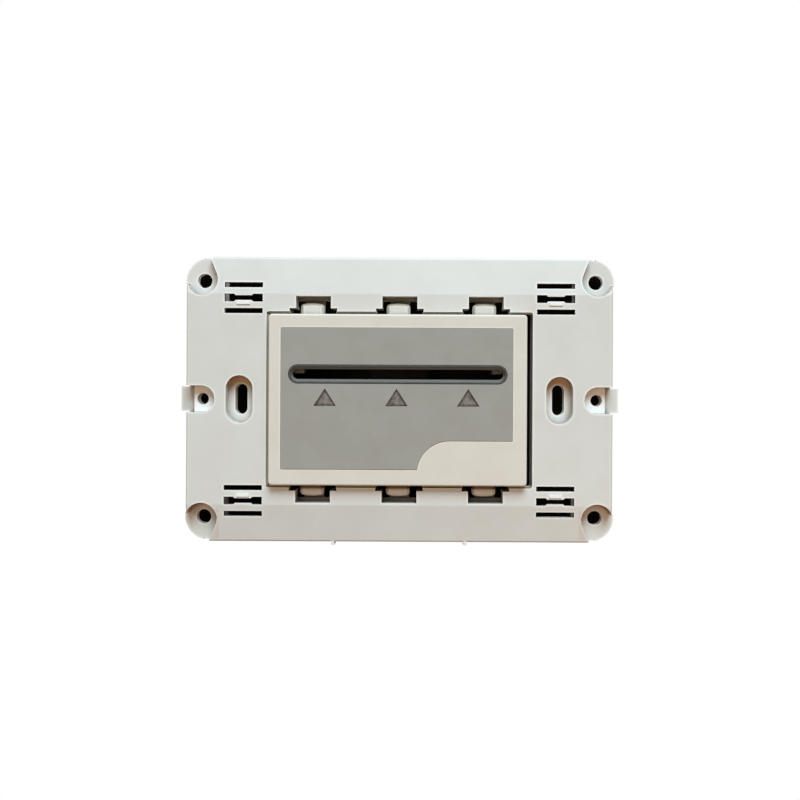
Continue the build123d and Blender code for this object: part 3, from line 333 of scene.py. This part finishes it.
def moulded(
    name,
    colour,
    tint,
    dark_tone,
    roughness=0.42,
    reach=1.2,
    corner_shade_level=0.5,
    rim=0.3,
    recesses=False,
    catches=False,
):
    """Moulded plastic: faint blotches, a fine spark-eroded grain, pale edges and painted corner
    shade.

    Pale edges are part wear and part painted highlight. reach is the width of gaps that get
    painted shade and rim that of pale edges, in millimetres. recesses is for the frame and adds
    its painted shade and light in the recesses; catches is for the cover and adds its painted
    shadow at the lower catches.
    """
    n = Nodes(name)
    shade = n.mix(n.ramp(n.noise(9, 4), 0.35, 0.7), colour, tint)
    specks = n.ramp(n.noise(0.6, 5, 0.7), 0.62, 0.8)
    shade = n.mix(n.math("MULTIPLY", specks, 0.08), shade, dark_tone)

    open_air = n.crevice(reach)
    # Edges painted pale: partly wear, partly painted highlight
    pale = [min(0.93, 1.35 * c + 0.03) for c in colour]
    rim_air = n.ramp(open_air, *(CATCH_RIM_OPEN_AIR if catches else RIM_OPEN_AIR))
    edge_wear_and_highlight = n.math("MULTIPLY", n.edges(rim), rim_air)
    shade = n.mix(n.math("MULTIPLY", edge_wear_and_highlight, 0.85), shade, pale)

    # Painted shade in corners and gaps, blotched
    corners, patches = n.ramp(open_air, 0.75, 0.3), n.ramp(n.noise(3, 3), 0.1, 0.5)
    corner_shade = n.math("MULTIPLY", corners, patches, clamp=True)
    if recesses:
        corner_shade = n.math("MULTIPLY", corner_shade, n.deeper(*CORNER_SHADE_BEGINS))
    shade = n.mix(n.math("MULTIPLY", corner_shade, corner_shade_level), shade, dark_tone)
    if recesses:
        shade = painted_recess_light(n, shade)
    if catches:
        shade = n.mix(catch_roots(n), shade, CATCH_ROOT_PAINTED_SHADOW)
    # Painted near-black shade in the narrowest gaps
    shade = n.mix(n.ramp(open_air, 0.42, 0.2), shade, [0.12 * c for c in dark_tone])
    # Painted near-black shade in the clip slots
    if recesses:
        shade = n.mix(n.region(*CLIP_SLOTS), shade, CLIP_SLOT_PAINTED_SHADE)

    gloss = n.math("ADD", roughness - 0.06, n.math("MULTIPLY", n.noise(5, 4), 0.16))
    normal = n.bump(n.noise(0.18, 2, 0.5), 0.25, 0.03, n.soft_edges(0.12))
    n.surface(shade, gloss, normal, IOR=1.49)
    return n.material


def printed_label(name, colour, tint, dark_tone):
    """A printed satin film: faint blotches, a fine weave of print and light rubbing."""
    n = Nodes(name)
    shade = n.mix(n.ramp(n.noise(7, 4), 0.35, 0.7), colour, tint)
    shade = n.mix(n.math("MULTIPLY", n.ramp(n.noise(0.35, 4, 0.7), 0.5, 0.8), 0.15), shade, dark_tone)
    rub = n.ramp(n.noise(2.2, 5, 0.65, n.stretched(0.15, 1, 1)), 0.55, 0.75)
    pale = [1.12 * c for c in colour]
    shade = n.mix(n.math("MULTIPLY", rub, 0.16), shade, pale)
    gloss = n.math("ADD", 0.38, n.math("MULTIPLY", rub, 0.12))
    normal = n.bump(n.noise(0.12, 2, 0.5), 0.18, 0.02, n.soft_edges(0.08))
    n.surface(shade, gloss, normal, IOR=1.48)
    return n.material


def coated_ring(name):
    """The escutcheon's satin coat: fine brushing, painted shade round its outline, pale edges."""
    n = Nodes(name)
    low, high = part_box("slot_escutcheon")
    middle_x = (low.x + high.x) / 2
    parts = n.add("ShaderNodeSeparateXYZ")
    n.link(n.place, parts.inputs[0])
    across = n.math("ABSOLUTE", n.math("SUBTRACT", parts.outputs["X"], middle_x))
    along = n.math("MAXIMUM", n.math("SUBTRACT", across, RING_STRAIGHT), 0.0)
    up = n.math("SUBTRACT", parts.outputs["Z"], RING_MIDDLE_Z)
    brush = n.noise(0.25, 4, 0.6, n.stretched(0.05, 1, 1))
    streaks = n.ramp(brush, 0.3, 0.7)
    bright = n.mix(streaks, linear(118, 117, 113), linear(136, 135, 130))
    dark = n.mix(streaks, linear(62, 62, 59), linear(76, 75, 72))
    # Painted shade of the groove round the ring's outline
    shade = n.mix(n.ramp(n.length(along, up), *RING_GROOVE_PAINTED_SHADE), bright, dark)
    # Edges painted pale: partly wear, partly painted highlight
    shade = n.mix(n.math("MULTIPLY", n.edges(0.15), 0.5), shade, linear(176, 174, 168))
    gloss = n.math("ADD", 0.3, n.math("MULTIPLY", brush, 0.15))
    normal = n.bump(brush, 0.15, 0.02, n.soft_edges(0.1))
    n.surface(shade, gloss, normal, Metallic=0.1, IOR=1.5)
    return n.material


def smoked(name, colour, tint):
    """A smoked lens, cloudy inside and dark round its outline, with a glossy face."""
    n = Nodes(name)
    shade = n.mix(n.ramp(n.noise(1.3, 3), 0.35, 0.65), colour, tint)
    shade = n.mix(n.edges(1.1), shade, linear(46, 46, 40))
    normal = n.bump(n.noise(0.8, 2), 0.1, 0.05, n.soft_edges(0.1))
    n.surface(shade, 0.16, normal, IOR=1.5, Coat_Weight=0.3, Coat_Roughness=0.08)
    return n.material


def clear_grey(name):
    """Translucent grey plastic."""
    n = Nodes(name)
    shade = n.mix(n.ramp(n.noise(1.5, 3), 0.3, 0.7), linear(92, 92, 88), linear(128, 127, 122))
    normal = n.bump(n.noise(0.4, 2), 0.1, 0.03, n.soft_edges(0.12))
    n.surface(shade, 0.25, normal, IOR=1.5, Transmission_Weight=0.25)
    return n.material


def metal(name, colour, tint, roughness, brushing):
    """Drawn or plated metal with fine scratches and dull spots."""
    n = Nodes(name)
    scratch = n.noise(0.3, 5, 0.65, n.stretched(*brushing))
    shade = n.mix(n.ramp(scratch, 0.3, 0.75), colour, tint)
    dull = n.ramp(n.noise(1.8, 4), 0.5, 0.7)
    shade = n.mix(n.math("MULTIPLY", dull, 0.25), shade, [0.5 * c for c in tint])
    gloss = n.math("ADD", roughness, n.math("MULTIPLY", dull, 0.2))
    normal = n.bump(scratch, 0.2, 0.02, n.soft_edges(0.1))
    n.surface(shade, gloss, normal, Metallic=1.0)
    return n.material


def laminate(name):
    """A green circuit board with a woven core and pale cut edges."""
    n = Nodes(name)
    warp = n.noise(0.4, 2, 0.5, n.stretched(0.2, 1, 1))
    weft = n.noise(0.4, 2, 0.5, n.stretched(1, 1, 0.2))
    weave = n.math("ADD", warp, weft)
    shade = n.mix(n.ramp(weave, 0.8, 1.2), linear(24, 82, 44), linear(38, 104, 58))
    shade = n.mix(n.math("MULTIPLY", n.edges(0.2), 0.7), shade, linear(150, 140, 96))
    normal = n.bump(weave, 0.15, 0.02, n.soft_edges(0.08))
    n.surface(shade, 0.28, normal, IOR=1.5)
    return n.material


def diffused(name):
    """A lamp's milky resin."""
    n = Nodes(name)
    shade = n.mix(n.ramp(n.noise(0.8, 3), 0.3, 0.7), linear(226, 224, 214), linear(205, 203, 192))
    normal = n.bump(n.noise(0.5, 2), 0.05, 0.02)
    n.surface(shade, 0.2, normal, IOR=1.5, Subsurface_Weight=0.2, Subsurface_Scale=0.001)
    return n.material


# Each plastic's colour, the tint of its blotches, the colour of its dirt specks and of its
# painted shade, and other settings
PLASTICS = {
    "frame_plastic": (
        (212, 212, 208),
        (208, 207, 202),
        (128, 98, 72),
        dict(reach=2.4, corner_shade_level=0.7, rim=1.0, recesses=True),
    ),
    "cover_plastic": (
        (216, 211, 202),
        (212, 206, 196),
        (96, 62, 38),
        dict(reach=2.6, corner_shade_level=0.85, rim=0.7, catches=True),
    ),
    "black_plastic": ((22, 22, 22), (27, 27, 26), (44, 42, 40), dict(roughness=0.4)),
    "lever_plastic": ((24, 24, 24), (29, 29, 28), (44, 42, 40), dict(roughness=0.4)),
    "plunger_plastic": ((176, 40, 30), (160, 34, 26), (80, 20, 16), {}),
    "relay_plastic": ((32, 66, 132), (28, 58, 120), (16, 30, 62), {}),
    "capacitor_plastic": ((150, 44, 34), (138, 38, 30), (70, 22, 18), {}),
    "resistor_ceramic": ((206, 184, 148), (196, 172, 136), (120, 96, 70), {}),
    "block_plastic": ((62, 66, 64), (56, 59, 57), (96, 92, 86), {}),
    "housing_plastic": ((84, 86, 86), (76, 78, 78), (118, 114, 106), {}),
}

# Each metal's colour, the tint of its scratches, its roughness and the scratches' stretch
METALS = {
    "can_metal": ((176, 178, 182), (160, 161, 165), 0.3, (1, 1, 1)),
    "pin_steel": ((190, 190, 190), (168, 168, 168), 0.25, (0.1, 1, 1)),
    "tinned_metal": ((205, 205, 200), (185, 185, 180), 0.3, (1, 1, 1)),
    "terminal_brass": ((206, 172, 96), (186, 150, 78), 0.28, (1, 1, 0.1)),
    "cage_metal": ((202, 198, 188), (180, 175, 164), 0.3, (0.1, 1, 1)),
    "screw_metal": ((198, 198, 196), (172, 172, 170), 0.28, (1, 1, 0.1)),
}


def make_finishes():
    finishes = {
        "label_plastic": printed_label(
            "label_plastic", linear(157, 156, 151), linear(153, 151, 144), linear(120, 118, 110)
        ),
        "ring_metal": coated_ring("ring_metal"),
        "smoked_lens": smoked("smoked_lens", linear(96, 92, 84), linear(140, 132, 126)),
        "clear_plastic": clear_grey("clear_plastic"),
        "led_resin": diffused("led_resin"),
        "board_laminate": laminate("board_laminate"),
    }
    for name, (colour, tint, dark_tone, settings) in PLASTICS.items():
        finishes[name] = moulded(name, linear(*colour), linear(*tint), linear(*dark_tone), **settings)
    for name, (colour, tint, roughness, brushing) in METALS.items():
        finishes[name] = metal(name, linear(*colour), linear(*tint), roughness, brushing)
    return finishes


finishes = make_finishes()
for part in frame["record"]["subparts"]:
    slots = frame["nodes"][part["node"]].data.materials
    slots.clear()
    slots.append(finishes[part["material_slot"]])


# The frame's lip round the opening, just under the face, beside the cover, in the gap's painted
# shade


def lip_finish():
    """The frame's plastic in an olive painted shade, with a browner painted shadow along the
    lower edge.
    """
    n = Nodes("lip_painted_shade")
    low_edge = n.math("LESS_THAN", n.axes()[2], (LIP_WIDTH - OPENING_HEIGHT) / 2)
    # Olive painted shade, with a browner painted shadow on the lower bars
    shade = n.mix(n.ramp(n.noise(4, 4), 0.35, 0.7), linear(172, 165, 142), linear(158, 150, 126))
    shade = n.mix(low_edge, shade, linear(104, 80, 52))
    normal = n.bump(n.noise(0.18, 2, 0.5), 0.25, 0.03, n.soft_edges(0.1))
    n.surface(shade, 0.5, normal, IOR=1.49)
    return n.material


def opening_lips():
    """Bars along the opening's left side, and along its top and bottom between the windows."""
    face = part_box("support_frame")[1].y - FRAME_DEPTH
    half_w, half_h = OPENING_WIDTH / 2, OPENING_HEIGHT / 2
    bars = [(-half_w, -half_w + LIP_WIDTH, -half_h, half_h)]
    ends = [-half_w]
    for middle in (-MODULE_PITCH, 0, MODULE_PITCH):
        ends += [middle - WINDOW_NOTCH / 2, middle + WINDOW_NOTCH / 2]
    ends.append(half_w)
    for start, end in zip(ends[::2], ends[1::2]):
        bars.append((start, end, half_h - LIP_WIDTH, half_h))
        bars.append((start, end, -half_h, -half_h + LIP_WIDTH))
    mesh = bmesh.new()
    for x0, x1, z0, z1 in bars:
        size = Vector((x1 - x0, LIP_THICKNESS, z1 - z0))
        middle = Vector(((x0 + x1) / 2, face + LIP_DEPTH + LIP_THICKNESS / 2, (z0 + z1) / 2))
        place = Matrix.Translation(middle) @ Matrix.Diagonal((*size, 1))
        bmesh.ops.create_cube(mesh, size=1, matrix=place)
    data = bpy.data.meshes.new("opening_lips")
    mesh.to_mesh(data)
    mesh.free()
    piece = bpy.data.objects.new("opening_lips", data)
    data.materials.append(lip_finish())
    bpy.context.scene.collection.objects.link(piece)
    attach(piece, "module")


opening_lips()


# Stage: a pale floor well below the object, and a dark backing just behind the frame, a sheet
# of painted shade so that its holes read dark from the front. The backing can't be seen from
# behind.

FLOOR_DROP = 0.60
FLOOR_HALF = 1.0
FLOOR_BOUNCE = [0.22, 0.21, 0.2]
FLOOR_WHITENESS = 0.75
BACKING_GAP = 3 * MM
BACKING_INSET = 1.6 * MM


def plane_object(name, corners, material):
    mesh = bpy.data.meshes.new(name)
    mesh.from_pydata(corners, [], [list(range(len(corners)))])
    mesh.materials.append(material)
    piece = bpy.data.objects.new(name, mesh)
    bpy.context.scene.collection.objects.link(piece)


def two_shaders(n, factor, first, second):
    mix = n.add("ShaderNodeMixShader")
    n.link(factor, mix.inputs[0])
    n.link(first.outputs[0], mix.inputs[1])
    n.link(second.outputs[0], mix.inputs[2])
    n.link(mix.outputs[0], n.output.inputs["Surface"])


def floor_finish():
    """Nearly white to the camera but for the object's shadow, and dim in what it throws back."""
    n = Nodes("stage_floor")
    seen = n.add("ShaderNodeLightPath").outputs["Is Camera Ray"]
    shade = n.mix(n.ramp(n.noise(30, 3), 0.3, 0.7), linear(236, 235, 232), linear(230, 229, 226))
    pale = n.surface(n.mix(seen, FLOOR_BOUNCE, shade), 0.7, IOR=1.3)
    white = n.add("ShaderNodeEmission")
    two_shaders(n, n.math("MULTIPLY", seen, FLOOR_WHITENESS), pale, white)
    return n.material


def backing_finish():
    """Near-black painted shade from the front, clear from behind and to the lamps."""
    n = Nodes("stage_backing")
    # The near-black painted shade seen through the frame's holes
    dark = n.add("ShaderNodeBsdfDiffuse")
    n.feed_colour(dark.inputs["Color"], linear(22, 18, 15))
    clear = n.add("ShaderNodeBsdfTransparent")
    behind = n.add("ShaderNodeNewGeometry").outputs["Backfacing"]
    to_lamp = n.add("ShaderNodeLightPath").outputs["Is Shadow Ray"]
    two_shaders(n, n.math("MAXIMUM", behind, to_lamp), dark, clear)
    return n.material


def make_stage():
    half, drop = FLOOR_HALF, -FLOOR_DROP
    corners = [(-half, -half, drop), (half, -half, drop), (half, half, drop), (-half, half, drop)]
    plane_object("stage_floor", corners, floor_finish())

    low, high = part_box("support_frame")
    left, right = low.x + 2 * BACKING_INSET, high.x - 2 * BACKING_INSET
    under, over = low.z + BACKING_INSET, high.z - BACKING_INSET
    hole_low, hole_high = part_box("rear_housing")
    backing = backing_finish()
    y = high.y + BACKING_GAP
    for side, x0, x1, z0, z1 in (
        ("top", left, right, hole_high.z, over),
        ("bottom", left, right, under, hole_low.z),
        ("left", left, hole_low.x, hole_low.z, hole_high.z),
        ("right", hole_high.x, right, hole_low.z, hole_high.z),
    ):
        corners = [(x0, y, z0), (x1, y, z0), (x1, y, z1), (x0, y, z1)]
        plane_object("stage_backing_" + side, corners, backing)


make_stage()


# Light, world and camera

# Where the camera stands, the point at the picture's middle, and the width that it sees at
# the frame's face
FACE_Y = -7 * MM
CAMERA_DISTANCE = 265 * MM
CAMERA_X = 6 * MM
CAMERA_Z = 5 * MM
CENTRE_X = 0.13 * MM
CENTRE_Z = 0.0 * MM
FIELD = 208.2 * MM
ROLL = math.radians(-0.29)
SENSOR = 36.0
CLIP_START = 10 * MM

# Each lamp's name, place, aim, size, power in watts and tint
LAMPS = [
    ("lamp_above", (0.2, -1.2, 1.45), (0, 0, 0), (1.1, 1.0), 45.5, (0.75, 0.91, 1.0)),
    ("lamp_left", (-0.5, -0.9, 0.0), (0, 0, 0), (0.5, 0.5), 1.4, (1.0, 0.66, 0.4)),
    ("lamp_low", (0.15, -0.32, -0.16), (0, 0, 0), (0.2, 0.1), 0.23, (1.0, 0.53, 0.225)),
    ("lamp_back", (0.3, 0.6, 0.5), (0, 0.02, 0), (0.5, 0.5), 4.0, (1, 1, 1)),
]
WORLD_SHADE = (0.20, 0.18, 0.16)


def lamp(name, place, aim, size, power, tint):
    data = bpy.data.lights.new(name, "AREA")
    data.shape = "RECTANGLE"
    data.size, data.size_y = size
    data.energy = power
    data.color = tint
    light = bpy.data.objects.new(name, data)
    light.location = place
    light.rotation_euler = (Vector(aim) - Vector(place)).to_track_quat("-Z", "Y").to_euler()
    bpy.context.scene.collection.objects.link(light)


def make_world(shade):
    """Even light of this shade on the object, and white where the camera or glass looks out."""
    world = bpy.data.worlds.new("studio")
    world.use_nodes = True
    nodes, links = world.node_tree.nodes, world.node_tree.links
    nodes.clear()
    path = nodes.new("ShaderNodeLightPath")
    seen = nodes.new("ShaderNodeMath")
    seen.operation = "MAXIMUM"
    links.new(path.outputs["Is Camera Ray"], seen.inputs[0])
    links.new(path.outputs["Is Transmission Ray"], seen.inputs[1])
    mix = nodes.new("ShaderNodeMixShader")
    links.new(seen.outputs[0], mix.inputs[0])
    for socket, colour in ((mix.inputs[1], shade), (mix.inputs[2], (1, 1, 1))):
        light = nodes.new("ShaderNodeBackground")
        light.inputs["Color"].default_value = (*colour, 1)
        links.new(light.outputs[0], socket)
    output = nodes.new("ShaderNodeOutputWorld")
    links.new(mix.outputs[0], output.inputs["Surface"])
    bpy.context.scene.world = world


def make_camera():
    data = bpy.data.cameras.new("camera")
    data.sensor_width = SENSOR
    data.lens = SENSOR * CAMERA_DISTANCE / FIELD
    data.shift_x = (CENTRE_X - CAMERA_X) / FIELD
    data.shift_y = (CENTRE_Z - CAMERA_Z) / FIELD
    data.clip_start = CLIP_START
    camera = bpy.data.objects.new("camera", data)
    place = Matrix.Translation((CAMERA_X, FACE_Y - CAMERA_DISTANCE, CAMERA_Z))
    upright = Matrix.Rotation(math.pi / 2, 4, "X")
    camera.matrix_world = place @ Matrix.Rotation(ROLL, 4, "Y") @ upright
    bpy.context.scene.collection.objects.link(camera)
    bpy.context.scene.camera = camera


make_world(WORLD_SHADE)
for settings in LAMPS:
    lamp(*settings)
make_camera()
bpy.context.scene.view_settings.view_transform = "Standard"
